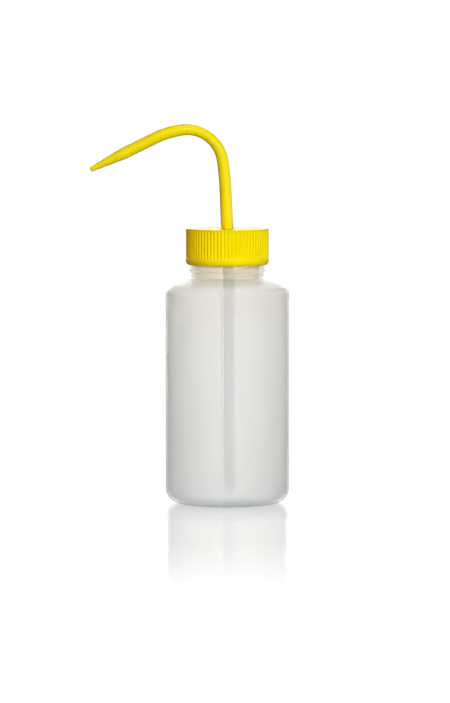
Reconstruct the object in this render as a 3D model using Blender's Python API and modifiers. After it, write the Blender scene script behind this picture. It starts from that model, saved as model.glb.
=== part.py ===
"""Wide-neck laboratory wash bottle, 500 ml: bottle, screw cap, insert, ring, spout and dip tube.

Metres, +Z up. The origin is the centre of the bottle's foot, on the bottle's axis, and the spout
points along -X. Every piece is modelled about the axis from its own reference plane, and is placed
by its location under one of three empties: the closure that lifts, the cap that turns on the neck,
and the spout that swivels in the insert.
"""

import math

import bmesh
import bpy

MM = 0.001

# Gap kept between pieces that touch on the real bottle.
SEAT_GAP = 0.3 * MM

# Bottle body.
BODY_RADIUS = 37.5 * MM
WALL = 1.2 * MM
FLOOR = 2.0 * MM
HEEL_RADIUS = 9.0 * MM
WALL_TOP = 127.9 * MM
SHOULDER_CORNER_RADIUS = 6.5 * MM
SHOULDER_CROWN_RADIUS = 50.0 * MM
SHOULDER_BREAK = math.radians(65.0)
FOOT_RING_INNER = 20.0 * MM
FOOT_RING_OUTER = 25.0 * MM
FOOT_RING_DEPTH = 0.5 * MM
FOOT_RING_SLOPE = 0.8 * MM

# Bottle neck.
LIP_HEIGHT = 161.8 * MM
LIP_CHAMFER = 0.4 * MM
NECK_BORE = 19.2 * MM
NECK_RADIUS = 22.1 * MM
NECK_FILLET = 1.5 * MM
BEAD_HEIGHT = 142.2 * MM
BEAD_HALF_HEIGHT = 1.7 * MM
BEAD_STAND = 1.2 * MM
COLLAR_TOP = 146.6 * MM
COLLAR_STEP = 0.6 * MM

# Thread, right-handed, with one start. Both ridges have the same trapezoid section.
THREAD_PITCH = 4.0 * MM
THREAD_DEPTH = 1.2 * MM
THREAD_CREST_WIDTH = 1.0 * MM
THREAD_ROOT_WIDTH = 2.0 * MM
THREAD_BURIAL = 0.3 * MM
NECK_THREAD_ROOT = 21.0 * MM
NECK_THREAD_START = 151.6 * MM
NECK_THREAD_TURNS = 1.5
CAP_THREAD_LAG_TURNS = 0.25
CAP_THREAD_TURNS = 1.25
CAP_THREAD_DROP = 1.65 * MM

# Screw cap, from the lower rim up.
CAP_BORE = 22.6 * MM
CAP_BAND_RADIUS = 25.35 * MM
CAP_BAND_HEIGHT = 4.1 * MM
CAP_BAND_ROUNDING = 2.3 * MM
CAP_BAND_ROUNDING_HEIGHT = 3.2 * MM
CAP_HEIGHT = 22.1 * MM
CAP_PLATE = 1.8 * MM
CAP_EDGE = 0.3 * MM
CAP_HOLE = 4.3 * MM
CAP_INNER_CORNER = 0.6 * MM
RIB_COUNT = 72
RIB_CREST = 25.1 * MM
RIB_VALLEY = 24.6 * MM
RIB_RING_BORE = 24.0 * MM
RIB_TOP_DROP = 0.4 * MM
RIB_FOOT_OVERLAP = 0.3 * MM
SNAP_BEAD_RADIUS = 21.6 * MM
SNAP_BEAD_HEIGHT = 0.7 * MM
SNAP_BEAD_RUN_IN = 0.5 * MM

# Sealing ring and insert.
RING_THICKNESS = 1.2 * MM
RING_BORE = 19.3 * MM
RING_RADIUS = 20.9 * MM
DISC_RADIUS = 22.2 * MM
DISC_THICKNESS = 1.5 * MM
PLUG_RADIUS = 18.7 * MM
PLUG_WALL = 1.2 * MM
PLUG_DEPTH = 8.6 * MM
PLUG_CHAMFER = 0.6 * MM
BOSS_RADIUS = 6.5 * MM
BOSS_DEPTH = 16.1 * MM
WEB_DEPTH = 7.6 * MM
WEB_THICKNESS = 1.5 * MM
WEB_BORE = 2.0 * MM
SPOUT_SOCKET = 4.15 * MM
TUBE_SOCKET = 3.45 * MM

# Dip tube, from its open foot up.
TUBE_RADIUS = 3.15 * MM
TUBE_BORE = 2.15 * MM
TUBE_FOOT_HEIGHT = 9.2 * MM
TUBE_BOW = 0.8 * MM
TUBE_LEAN = 0.3 * MM
TUBE_BOW_HEIGHT = 10.0 * MM

# Spout: a spigot, a riser that leans a little, a crown of two bends, and a straight arm.
SPIGOT_LENGTH = 8.7 * MM
SPOUT_LEAN = math.radians(2.4)
SPOUT_LEAN_RADIUS = 20.0 * MM
RISER_LENGTH = 22.8 * MM
RISER_BEND_RADIUS = 200.0 * MM
RISER_BEND = math.radians(5.6)
CROWN_RADIUS = 22.2 * MM
CROWN_BEND = math.radians(89.5)
DROOP_RADIUS = 52.7 * MM
DROOP_BEND = math.radians(18.6)
ARM_LENGTH = 43.6 * MM
SPOUT_FOOT_RADIUS = 3.85 * MM
SPOUT_ARM_RADIUS = 3.6 * MM
SPOUT_TIP_RADIUS = 1.5 * MM
SPOUT_TIP_ROUNDING = 0.5 * MM
CROWN_NARROWING = 0.35 * MM
CROWN_NARROWING_LENGTH = 43.0 * MM
JET_LENGTH = 22.0 * MM
SPOUT_BORE = 2.0 * MM
JET_BORE = 0.75 * MM

# Facets.
BOTTLE_STEPS = 48
CAP_STEPS = 48
INSERT_STEPS = 36
TUBE_SIDES = 12
SPOUT_SIDES = 16
ARC_STEP = math.radians(15.0)
SPOUT_ARC_STEP = math.radians(7.5)
BOW_STEPS = 6
CUTTER_OVERRUN = 1.0 * MM
MERGE_DISTANCE = 0.001 * MM
SHARP_ANGLE = math.radians(35.0)

# Heights that follow from the ones above.
INSERT_SEAT = LIP_HEIGHT + SEAT_GAP + RING_THICKNESS + SEAT_GAP
CAP_RIM_HEIGHT = INSERT_SEAT + DISC_THICKNESS + SEAT_GAP + CAP_PLATE - CAP_HEIGHT
WEB_TOP = INSERT_SEAT - WEB_DEPTH
TUBE_TOP = WEB_TOP - WEB_THICKNESS - SEAT_GAP


def clear_scene():
    for obj in list(bpy.data.objects):
        bpy.data.objects.remove(obj, do_unlink=True)


def new_collection(name):
    collection = bpy.data.collections.new(name)
    bpy.context.scene.collection.children.link(collection)
    return collection


def plastic(name, colour, roughness, alpha=1.0):
    """A moulded plastic: Principled BSDF with no metal in it."""
    material = bpy.data.materials.new(name)
    material.use_nodes = True
    shader = material.node_tree.nodes["Principled BSDF"]
    shader.inputs["Base Color"].default_value = (*colour, 1.0)
    shader.inputs["Roughness"].default_value = roughness
    shader.inputs["Metallic"].default_value = 0.0
    shader.inputs["Alpha"].default_value = alpha
    return material


def arc(centre, radius, start, end):
    """Points of an arc in the (r, z) half plane, angles from +r towards +z, both ends included."""
    count = max(2, math.ceil(abs(end - start) / ARC_STEP))
    angles = [start + (end - start) * i / count for i in range(count + 1)]
    return [(centre[0] + radius * math.cos(a), centre[1] + radius * math.sin(a)) for a in angles]


def turned(name, profile, steps, collection, is_ring=False):
    """Turn a profile of (r, z) points about Z. A ring's profile is closed, any other ends on the axis."""
    last = len(profile) - 1
    edges = [(i, i + 1) for i in range(last)]
    if is_ring:
        edges.append((last, 0))
    mesh = bpy.data.meshes.new(name)
    mesh.from_pydata([(r, 0.0, z) for r, z in profile], edges, [])
    obj = bpy.data.objects.new(name, mesh)
    collection.objects.link(obj)
    screw = obj.modifiers.new("Turn", "SCREW")
    screw.axis = "Z"
    screw.angle = math.tau
    screw.steps = steps
    screw.render_steps = steps
    screw.use_merge_vertices = True
    screw.merge_threshold = MERGE_DISTANCE
    return obj


def bake(obj):
    """Give an object the mesh that its curve and modifiers make, welded, and return the new object."""
    bpy.context.view_layer.update()
    evaluated = obj.evaluated_get(bpy.context.evaluated_depsgraph_get())
    mesh = bpy.data.meshes.new_from_object(evaluated)
    shape = bmesh.new()
    shape.from_mesh(mesh)
    bmesh.ops.remove_doubles(shape, verts=shape.verts, dist=MERGE_DISTANCE)
    shape.to_mesh(mesh)
    shape.free()
    name = obj.name
    baked = bpy.data.objects.new(name + "_mesh", mesh)
    baked.matrix_world = obj.matrix_world
    for collection in obj.users_collection:
        collection.objects.link(baked)
    bpy.data.objects.remove(obj, do_unlink=True)
    baked.name = name
    return baked


def thread_ridge(name, root_radius, outward, start_height, start_turns, turns, steps, collection):
    """A helical ridge on a wall of root_radius, facing outward (1) or inward (-1), with flat ends.

    start_height is the ridge's middle at its first end, which is start_turns round the axis from +X.
    """
    buried = root_radius - outward * THREAD_BURIAL
    crest = root_radius + outward * THREAD_DEPTH
    slope = (THREAD_ROOT_WIDTH - THREAD_CREST_WIDTH) / 2 / THREAD_DEPTH
    half_crest = THREAD_CREST_WIDTH / 2
    half_buried = half_crest + slope * (THREAD_DEPTH + THREAD_BURIAL)
    section = [(buried, half_buried), (crest, half_crest), (crest, -half_crest), (buried, -half_buried)]
    mesh = bpy.data.meshes.new(name)
    mesh.from_pydata([(r, 0.0, z) for r, z in section], [(0, 1), (1, 2), (2, 3), (3, 0)], [])
    ridge = bpy.data.objects.new(name, mesh)
    collection.objects.link(ridge)
    screw = ridge.modifiers.new("Helix", "SCREW")
    screw.axis = "Z"
    screw.angle = turns * math.tau
    screw.screw_offset = turns * THREAD_PITCH
    screw.steps = round(turns * steps)
    screw.render_steps = screw.steps
    ridge = bake(ridge)
    shape = bmesh.new()
    shape.from_mesh(ridge.data)
    open_edges = [edge for edge in shape.edges if edge.is_boundary]
    bmesh.ops.holes_fill(shape, edges=open_edges)
    bmesh.ops.recalc_face_normals(shape, faces=shape.faces)
    shape.to_mesh(ridge.data)
    shape.free()
    ridge.location.z = start_height
    ridge.rotation_euler.z = start_turns * math.tau
    return ridge


def tube(name, path, radii, sides, collection):
    """A round solid along a path of points in the XZ plane, with a radius at each point."""
    curve = bpy.data.curves.new(name, "CURVE")
    curve.dimensions = "3D"
    curve.bevel_depth = max(radii)
    curve.bevel_resolution = sides // 2 - 2
    curve.use_fill_caps = True
    spline = curve.splines.new("POLY")
    spline.points.add(len(path) - 1)
    for point, (x, z), radius in zip(spline.points, path, radii):
        point.co = (x, 0.0, z, 1.0)
        point.radius = radius / curve.bevel_depth
    obj = bpy.data.objects.new(name, curve)
    collection.objects.link(obj)
    return bake(obj)


def combine(obj, tool, operation):
    """Join the tool to the object, or cut it away, with an exact Boolean."""
    tool.hide_render = True
    tool.display_type = "WIRE"
    boolean = obj.modifiers.new(operation.title(), "BOOLEAN")
    boolean.operation = operation
    boolean.solver = "EXACT"
    boolean.object = tool


def finish(obj, material, parent, height):
    """Bake a piece, shade it smooth between its sharp edges, and place it under its parent."""
    piece = bake(obj)
    piece.data.shade_smooth()
    piece.data.set_sharp_from_angle(angle=SHARP_ANGLE)
    piece.data.materials.clear()
    piece.data.materials.append(material)
    piece.parent = parent
    piece.location.z = height - parent.matrix_world.translation.z
    return piece


def axis_empty(name, height, parent, collection):
    """An empty on the bottle's axis, for the pieces that move together."""
    empty = bpy.data.objects.new(name, None)
    empty.empty_display_size = BODY_RADIUS
    collection.objects.link(empty)
    empty.parent = parent
    empty.location.z = height - (parent.matrix_world.translation.z if parent else 0.0)
    bpy.context.view_layer.update()
    return empty


def shoulder(inset, corner_end):
    """The shoulder from the neck at radius corner_end down to the wall, inset by a wall thickness."""
    corner = (BODY_RADIUS - SHOULDER_CORNER_RADIUS, WALL_TOP)
    reach = SHOULDER_CROWN_RADIUS - SHOULDER_CORNER_RADIUS
    crown = (
        corner[0] - reach * math.cos(SHOULDER_BREAK),
        corner[1] - reach * math.sin(SHOULDER_BREAK),
    )
    crown_radius = SHOULDER_CROWN_RADIUS - inset
    neck_angle = math.acos((corner_end - crown[0]) / crown_radius)
    crown_arc = arc(crown, crown_radius, neck_angle, SHOULDER_BREAK)
    corner_arc = arc(corner, SHOULDER_CORNER_RADIUS - inset, SHOULDER_BREAK, 0.0)
    return crown_arc[:-1] + corner_arc


def neck_bead():
    """The rounded bead below the cap, top to bottom."""
    half_circle = arc((0.0, 0.0), 1.0, math.pi / 2, -math.pi / 2)
    return [(NECK_RADIUS + BEAD_STAND * r, BEAD_HEIGHT + BEAD_HALF_HEIGHT * z) for r, z in half_circle]


def bottle_profile():
    """Inner floor, inner wall, lip, outer wall and foot, from the axis back to the axis."""
    inner_radius = BODY_RADIUS - WALL
    heel_inner = HEEL_RADIUS - WALL
    floor_arc = arc((inner_radius - heel_inner, FLOOR + heel_inner), heel_inner, -math.pi / 2, 0.0)
    inner_shoulder = shoulder(WALL, NECK_BORE)[::-1]
    lip = [
        (NECK_BORE, LIP_HEIGHT - LIP_CHAMFER),
        (NECK_BORE + LIP_CHAMFER, LIP_HEIGHT),
        (NECK_THREAD_ROOT - LIP_CHAMFER, LIP_HEIGHT),
        (NECK_THREAD_ROOT, LIP_HEIGHT - LIP_CHAMFER),
    ]
    collar = [(NECK_THREAD_ROOT, COLLAR_TOP), (NECK_RADIUS, COLLAR_TOP - COLLAR_STEP)]
    outer_shoulder = shoulder(0.0, NECK_RADIUS + NECK_FILLET)
    neck_foot = [(NECK_RADIUS, outer_shoulder[0][1] + NECK_FILLET)]
    heel = arc((BODY_RADIUS - HEEL_RADIUS, HEEL_RADIUS), HEEL_RADIUS, 0.0, -math.pi / 2)
    foot_ring = [
        (FOOT_RING_OUTER, 0.0),
        (FOOT_RING_OUTER - FOOT_RING_SLOPE, FOOT_RING_DEPTH),
        (FOOT_RING_INNER + FOOT_RING_SLOPE, FOOT_RING_DEPTH),
        (FOOT_RING_INNER, 0.0),
    ]
    inside = [(0.0, FLOOR)] + floor_arc + inner_shoulder
    outside = collar + neck_bead() + neck_foot + outer_shoulder + heel + foot_ring + [(0.0, 0.0)]
    return inside + lip + outside


def build_bottle(material, parent, parts, cutters):
    bottle = turned("bottle", bottle_profile(), BOTTLE_STEPS, parts)
    thread = thread_ridge(
        "neck_thread", NECK_THREAD_ROOT, 1, NECK_THREAD_START, 0.0, NECK_THREAD_TURNS, BOTTLE_STEPS, cutters
    )
    combine(bottle, thread, "UNION")
    return finish(bottle, material, parent, 0.0)


def cap_profile():
    """Section of the cap's wall, from the hole over the top, down the outside and up the inside."""
    plate_under = CAP_HEIGHT - CAP_PLATE
    snap_top = plate_under - SEAT_GAP - DISC_THICKNESS - SEAT_GAP
    snap_foot = snap_top - SNAP_BEAD_HEIGHT
    outside = [
        (CAP_HOLE, CAP_HEIGHT),
        (RIB_VALLEY - CAP_EDGE, CAP_HEIGHT),
        (RIB_VALLEY, CAP_HEIGHT - CAP_EDGE),
        (RIB_VALLEY, CAP_BAND_HEIGHT + CAP_EDGE),
        (CAP_BAND_RADIUS, CAP_BAND_HEIGHT),
    ]
    inside = [
        (CAP_BORE, CAP_EDGE),
        (CAP_BORE, snap_foot - SNAP_BEAD_RUN_IN),
        (SNAP_BEAD_RADIUS, snap_foot),
        (SNAP_BEAD_RADIUS, snap_top),
        (CAP_BORE, snap_top),
        (CAP_BORE, plate_under - CAP_INNER_CORNER),
        (CAP_BORE - CAP_INNER_CORNER, plate_under),
        (CAP_HOLE, plate_under),
    ]
    quarter_circle = arc((-1.0, 1.0), 1.0, 0.0, -math.pi / 2)
    rounding = [
        (CAP_BAND_RADIUS + CAP_BAND_ROUNDING * r, CAP_BAND_ROUNDING_HEIGHT * z) for r, z in quarter_circle
    ]
    return outside + rounding + inside


def rib_ring(collection):
    """The fluted outside of the cap: an outline of crests and valleys with a round hole, extruded."""
    low = CAP_BAND_HEIGHT - RIB_FOOT_OVERLAP
    high = CAP_HEIGHT - RIB_TOP_DROP
    curve = bpy.data.curves.new("rib_ring", "CURVE")
    curve.dimensions = "2D"
    curve.fill_mode = "BOTH"
    curve.extrude = (high - low) / 2
    outline = [RIB_CREST if i % 2 == 0 else RIB_VALLEY - CAP_EDGE for i in range(2 * RIB_COUNT)]
    hole = [RIB_RING_BORE] * CAP_STEPS
    for radii in (outline, hole):
        spline = curve.splines.new("POLY")
        spline.use_cyclic_u = True
        spline.points.add(len(radii) - 1)
        for i, (point, radius) in enumerate(zip(spline.points, radii)):
            angle = math.tau * i / len(radii)
            point.co = (radius * math.cos(angle), radius * math.sin(angle), 0.0, 1.0)
    ring = bpy.data.objects.new("rib_ring", curve)
    collection.objects.link(ring)
    ring.location.z = (low + high) / 2
    return bake(ring)


def build_cap(material, parent, parts, cutters):
    cap = turned("screw_cap", cap_profile(), CAP_STEPS, parts, is_ring=True)
    combine(cap, rib_ring(cutters), "UNION")
    lag = CAP_THREAD_LAG_TURNS * THREAD_PITCH
    thread_start = NECK_THREAD_START + lag - CAP_THREAD_DROP - CAP_RIM_HEIGHT
    thread = thread_ridge(
        "cap_thread", CAP_BORE, -1, thread_start, CAP_THREAD_LAG_TURNS, CAP_THREAD_TURNS, CAP_STEPS, cutters
    )
    combine(cap, thread, "UNION")
    return finish(cap, material, parent, CAP_RIM_HEIGHT)


def build_sealing_ring(material, parent, parts):
    """Flat ring that lies on the lip, around the insert's plug."""
    profile = [
        (RING_BORE, RING_THICKNESS),
        (RING_RADIUS, RING_THICKNESS),
        (RING_RADIUS, 0.0),
        (RING_BORE, 0.0),
    ]
    ring = turned("sealing_ring", profile, INSERT_STEPS, parts, is_ring=True)
    return finish(ring, material, parent, LIP_HEIGHT + SEAT_GAP)


def insert_profile():
    """Disc, plug skirt, boss and the two sockets, with the disc's underside at height 0."""
    skirt_inner = PLUG_RADIUS - PLUG_WALL
    return [
        (SPOUT_SOCKET, DISC_THICKNESS),
        (DISC_RADIUS, DISC_THICKNESS),
        (DISC_RADIUS, 0.0),
        (PLUG_RADIUS, 0.0),
        (PLUG_RADIUS, PLUG_CHAMFER - PLUG_DEPTH),
        (PLUG_RADIUS - PLUG_CHAMFER, -PLUG_DEPTH),
        (skirt_inner, -PLUG_DEPTH),
        (skirt_inner, 0.0),
        (BOSS_RADIUS, 0.0),
        (BOSS_RADIUS, PLUG_CHAMFER - BOSS_DEPTH),
        (BOSS_RADIUS - PLUG_CHAMFER, -BOSS_DEPTH),
        (TUBE_SOCKET, -BOSS_DEPTH),
        (TUBE_SOCKET, -WEB_DEPTH - WEB_THICKNESS),
        (WEB_BORE, -WEB_DEPTH - WEB_THICKNESS),
        (WEB_BORE, -WEB_DEPTH),
        (SPOUT_SOCKET, -WEB_DEPTH),
    ]


def build_insert(material, parent, parts):
    insert = turned("spout_insert", insert_profile(), INSERT_STEPS, parts, is_ring=True)
    return finish(insert, material, parent, INSERT_SEAT)


def between(value, start, end, first, last):
    """Linear change from first to last as the value goes from start to end, held outside them."""
    share = min(1.0, max(0.0, (value - start) / (end - start)))
    return first + (last - first) * share


def dip_tube_offset(height):
    """How far the tube stands off the axis at a height: it leans, and bows just below its socket."""
    socket_mouth = INSERT_SEAT - BOSS_DEPTH
    lean = between(height, socket_mouth, TUBE_FOOT_HEIGHT, 0.0, TUBE_LEAN)
    turn = between(height, socket_mouth, socket_mouth - TUBE_BOW_HEIGHT, 0.0, math.pi)
    return lean + TUBE_BOW * (1.0 - math.cos(turn)) / 2


def build_dip_tube(material, parent, parts, cutters):
    socket_mouth = INSERT_SEAT - BOSS_DEPTH
    bow_heights = [socket_mouth - TUBE_BOW_HEIGHT * i / BOW_STEPS for i in range(BOW_STEPS + 1)]
    heights = [TUBE_FOOT_HEIGHT] + bow_heights[::-1] + [TUBE_TOP]
    path = [(dip_tube_offset(z), z - TUBE_FOOT_HEIGHT) for z in heights]
    bore_path = path.copy()
    bore_path[0] = (path[0][0], -CUTTER_OVERRUN)
    bore_path[-1] = (path[-1][0], path[-1][1] + CUTTER_OVERRUN)
    dip_tube = tube("dip_tube", path, [TUBE_RADIUS] * len(path), TUBE_SIDES, parts)
    bore = tube("dip_tube_bore", bore_path, [TUBE_BORE] * len(path), TUBE_SIDES, cutters)
    combine(dip_tube, bore, "DIFFERENCE")
    return finish(dip_tube, material, parent, TUBE_FOOT_HEIGHT)


def spout_path():
    """Centre line in (x, z) from the spigot's end to the tip, with the distance along it."""
    moves = [
        (SPIGOT_LENGTH, 0.0),
        (SPOUT_LEAN_RADIUS * SPOUT_LEAN, SPOUT_LEAN),
        (RISER_LENGTH, 0.0),
        (RISER_BEND_RADIUS * RISER_BEND, RISER_BEND),
        (CROWN_RADIUS * CROWN_BEND, CROWN_BEND),
        (DROOP_RADIUS * DROOP_BEND, DROOP_BEND),
        (ARM_LENGTH - JET_LENGTH, 0.0),
        (JET_LENGTH - SPOUT_TIP_ROUNDING, 0.0),
        (SPOUT_TIP_ROUNDING, 0.0),
    ]
    points = [(0.0, 0.0)]
    distances = [0.0]
    heading = 0.0
    for length, bend in moves:
        count = max(1, round(bend / SPOUT_ARC_STEP))
        for _ in range(count):
            heading += bend / count / 2
            x, z = points[-1]
            stride = length / count
            points.append((x - stride * math.sin(heading), z + stride * math.cos(heading)))
            distances.append(distances[-1] + stride)
            heading += bend / count / 2
    return points, distances


def spout_radii(distances):
    """Outer radius along the spout.

    The riser narrows upwards, the bend draws the crown thinner, the arm is even, and the jet tapers to a
    round end.
    """
    end = distances[-1]
    crown = SPIGOT_LENGTH + SPOUT_LEAN_RADIUS * SPOUT_LEAN + RISER_LENGTH + RISER_BEND_RADIUS * RISER_BEND
    radii = []
    for distance in distances:
        radius = between(distance, SPIGOT_LENGTH, crown, SPOUT_FOOT_RADIUS, SPOUT_ARM_RADIUS)
        turn = between(distance, crown, crown + CROWN_NARROWING_LENGTH, 0.0, math.pi)
        taper = between(distance, end - JET_LENGTH, end, 0.0, SPOUT_ARM_RADIUS - SPOUT_TIP_RADIUS)
        radii.append(radius - CROWN_NARROWING * math.sin(turn) ** 2 - taper)
    radii[-1] = SPOUT_TIP_RADIUS - SPOUT_TIP_ROUNDING
    return radii


def extended(start, end, length):
    """The point a length beyond end on the line from start."""
    run = math.dist(start, end)
    return tuple(e + (e - s) / run * length for s, e in zip(start, end))


def build_spout(material, parent, parts, cutters):
    path, distances = spout_path()
    spout = tube("spout", path, spout_radii(distances), SPOUT_SIDES, parts)
    jet_start = distances[-1] - JET_LENGTH
    bore_radii = [between(d, jet_start, distances[-1], SPOUT_BORE, JET_BORE) for d in distances]
    bore_path = path.copy()
    bore_path[0] = extended(path[1], path[0], CUTTER_OVERRUN)
    bore_path[-1] = extended(path[-2], path[-1], CUTTER_OVERRUN)
    bore = tube("spout_bore", bore_path, bore_radii, SPOUT_SIDES, cutters)
    combine(spout, bore, "DIFFERENCE")
    return finish(spout, material, parent, WEB_TOP + SEAT_GAP)


def main():
    clear_scene()
    parts = new_collection("wash_bottle")
    cutters = new_collection("cutters_and_guides")
    natural = plastic("natural_ldpe", (0.82, 0.82, 0.79), 0.42, alpha=0.75)
    tubing = plastic("tubing_ldpe", (0.72, 0.74, 0.77), 0.38, alpha=0.85)
    yellow_cap = plastic("yellow_pp", (0.88, 0.68, 0.01), 0.35)
    yellow_spout = plastic("yellow_ldpe", (0.90, 0.70, 0.01), 0.3)
    white = plastic("white_pe", (0.80, 0.80, 0.78), 0.45)
    foam = plastic("pe_foam", (0.86, 0.86, 0.84), 0.8)

    ground = axis_empty("bottle_axis", 0.0, None, parts)
    closure = axis_empty("closure_axis", LIP_HEIGHT, ground, parts)
    cap_axis = axis_empty("cap_axis", CAP_RIM_HEIGHT, closure, parts)
    spout_axis = axis_empty("spout_axis", WEB_TOP, closure, parts)

    build_bottle(natural, ground, parts, cutters)
    build_sealing_ring(foam, closure, parts)
    build_insert(white, closure, parts)
    build_dip_tube(tubing, closure, parts, cutters)
    build_cap(yellow_cap, cap_axis, parts, cutters)
    build_spout(yellow_spout, spout_axis, parts, cutters)


main()
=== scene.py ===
"""The looks of the wide-neck laboratory wash bottle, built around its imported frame.

Metres, +Z up. The bottle's axis is Z and the spout points along -X, as in the frame. Each CAD node is
replaced by one piece of the same size, with rounded edges and the fine detail of moulded plastic, which
rides on the node's body: the bottle, the closure that lifts, the cap and the spout that turn in it.
"""

import math

import bmesh
import bpy
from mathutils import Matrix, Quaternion, Vector


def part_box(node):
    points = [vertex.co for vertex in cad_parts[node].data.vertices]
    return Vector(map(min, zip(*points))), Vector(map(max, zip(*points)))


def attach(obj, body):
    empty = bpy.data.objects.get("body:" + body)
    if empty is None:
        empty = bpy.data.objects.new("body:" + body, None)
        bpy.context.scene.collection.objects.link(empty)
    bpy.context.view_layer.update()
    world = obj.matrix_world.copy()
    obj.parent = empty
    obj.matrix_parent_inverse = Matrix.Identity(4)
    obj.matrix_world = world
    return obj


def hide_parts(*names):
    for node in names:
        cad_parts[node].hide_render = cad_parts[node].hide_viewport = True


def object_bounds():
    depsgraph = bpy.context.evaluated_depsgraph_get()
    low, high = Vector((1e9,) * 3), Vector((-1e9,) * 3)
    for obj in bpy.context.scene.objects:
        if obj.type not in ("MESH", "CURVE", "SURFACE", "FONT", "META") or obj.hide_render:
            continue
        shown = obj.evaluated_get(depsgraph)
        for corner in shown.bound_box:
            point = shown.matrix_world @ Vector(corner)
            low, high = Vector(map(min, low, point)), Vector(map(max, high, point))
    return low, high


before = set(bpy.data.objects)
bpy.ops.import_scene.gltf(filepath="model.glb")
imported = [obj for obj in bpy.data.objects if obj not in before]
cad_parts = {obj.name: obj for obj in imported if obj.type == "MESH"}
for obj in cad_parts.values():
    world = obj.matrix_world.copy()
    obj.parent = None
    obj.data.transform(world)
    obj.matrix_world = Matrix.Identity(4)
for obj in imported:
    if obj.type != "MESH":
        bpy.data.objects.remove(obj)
CAD_LOW, CAD_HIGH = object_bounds()

MM = 0.001

# Reference sizes from the frame.
BOTTLE_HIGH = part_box("bottle")[1]
CAP_LOW, CAP_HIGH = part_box("screw_cap")
INSERT_LOW, INSERT_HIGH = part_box("spout_insert")
RING_LOW, RING_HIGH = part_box("sealing_ring")
TUBE_LOW, TUBE_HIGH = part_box("dip_tube")
SPOUT_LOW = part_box("spout")[0]
BODY_RADIUS = BOTTLE_HIGH.x
LIP_HEIGHT = BOTTLE_HIGH.z
CAP_RIM, CAP_TOP = CAP_LOW.z, CAP_HIGH.z
CAP_BAND_RADIUS = CAP_HIGH.x

# Bottle.
WALL = 1.2 * MM
BOTTLE_FLOOR = 2.0 * MM
HEEL_RADIUS = 9.0 * MM
WALL_TOP = LIP_HEIGHT - 33.9 * MM
SHOULDER_CORNER_RADIUS = 6.5 * MM
SHOULDER_CROWN_RADIUS = 50.0 * MM
SHOULDER_BREAK = math.radians(65.0)
FOOT_RING_INNER = 20.0 * MM
FOOT_RING_OUTER = 25.0 * MM
FOOT_RING_DEPTH = 0.5 * MM
FOOT_RING_SLOPE = 0.8 * MM
NECK_BORE = 19.2 * MM
NECK_RADIUS = 22.1 * MM
NECK_THREAD_ROOT = 21.0 * MM
NECK_FILLET = 1.5 * MM
LIP_ROUNDING = 0.4 * MM
COLLAR_TOP = LIP_HEIGHT - 15.2 * MM
COLLAR_STEP = 0.6 * MM
BEAD_HEIGHT = LIP_HEIGHT - 19.6 * MM
BEAD_HALF_HEIGHT = 1.7 * MM
BEAD_STAND = 1.2 * MM
STEP_HEIGHT = LIP_HEIGHT - 21.9 * MM
STEP_HALF_HEIGHT = 0.5 * MM
STEP_STAND = 0.25 * MM

# The mould's parting line: a fine ridge between two grooves down both sides of the bottle, and a groove
# across its foot.
PARTING_ANGLE = math.radians(-95.2)
PARTING_HALF_WIDTH = 0.9 * MM
PARTING_DEPTH = 0.22 * MM
PARTING_LEAST = 0.25
# How strongly the shade of the parting line is painted into the wall's colour.
PARTING_PAINTED_SHADE = 0.45
PARTING_LINE_EDGE = 0.1 * MM
PARTING_FADE_LOW = 20.0 * MM
PARTING_FADE_HIGH = 90.0 * MM
PINCH_DEPTH = 0.1 * MM

# Threads, right-handed, 4 mm pitch.
THREAD_PITCH = 4.0 * MM
THREAD_DEPTH = 1.2 * MM
THREAD_CREST_WIDTH = 1.0 * MM
THREAD_ROOT_WIDTH = 2.0 * MM
THREAD_BURIAL = 0.3 * MM
THREAD_ROUNDING = 0.25 * MM
THREAD_RUN_OUT = math.radians(14.0)
THREAD_LEAD = THREAD_RUN_OUT / 4
NECK_THREAD_START = LIP_HEIGHT - 10.2 * MM
NECK_THREAD_TURNS = 1.5
CAP_THREAD_LAG_TURNS = 0.25
CAP_THREAD_TURNS = 1.25
CAP_THREAD_DROP = 1.65 * MM

# Cap.
CAP_BORE = 22.6 * MM
CAP_BAND_HEIGHT = 4.1 * MM
CAP_BAND_ROUNDING = 2.3 * MM
CAP_BAND_ROUNDING_HEIGHT = 3.2 * MM
CAP_PLATE = 1.8 * MM
CAP_HOLE = 4.3 * MM
CAP_RIM_LINE = 0.5 * MM
RIB_COUNT = 72
RIB_CREST = 25.1 * MM
RIB_DEPTH = 0.5 * MM
RIB_FADE = 1.8 * MM
RIB_TOP_FADE = 0.6 * MM
SNAP_BEAD_RADIUS = 21.6 * MM
SNAP_BEAD_HEIGHT = 0.7 * MM

# Insert, ring and tube.
SEAT_GAP = 0.3 * MM
DISC_THICKNESS = 1.5 * MM
PLUG_RADIUS = 18.7 * MM
PLUG_WALL = 1.2 * MM
PLUG_DEPTH = 8.6 * MM
BOSS_RADIUS = 6.5 * MM
WEB_DEPTH = 7.6 * MM
WEB_THICKNESS = 1.5 * MM
WEB_BORE = 2.0 * MM
SPOUT_SOCKET = 4.15 * MM
TUBE_SOCKET = 3.45 * MM
EDGE_ROUNDING = 0.25 * MM
SEAL_WIDTH = 1.6 * MM
TUBE_RADIUS = 3.15 * MM
TUBE_BORE = 2.15 * MM
TUBE_BOW = 0.8 * MM
TUBE_LEAN = 0.3 * MM
TUBE_BOW_HEIGHT = 10.0 * MM

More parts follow.
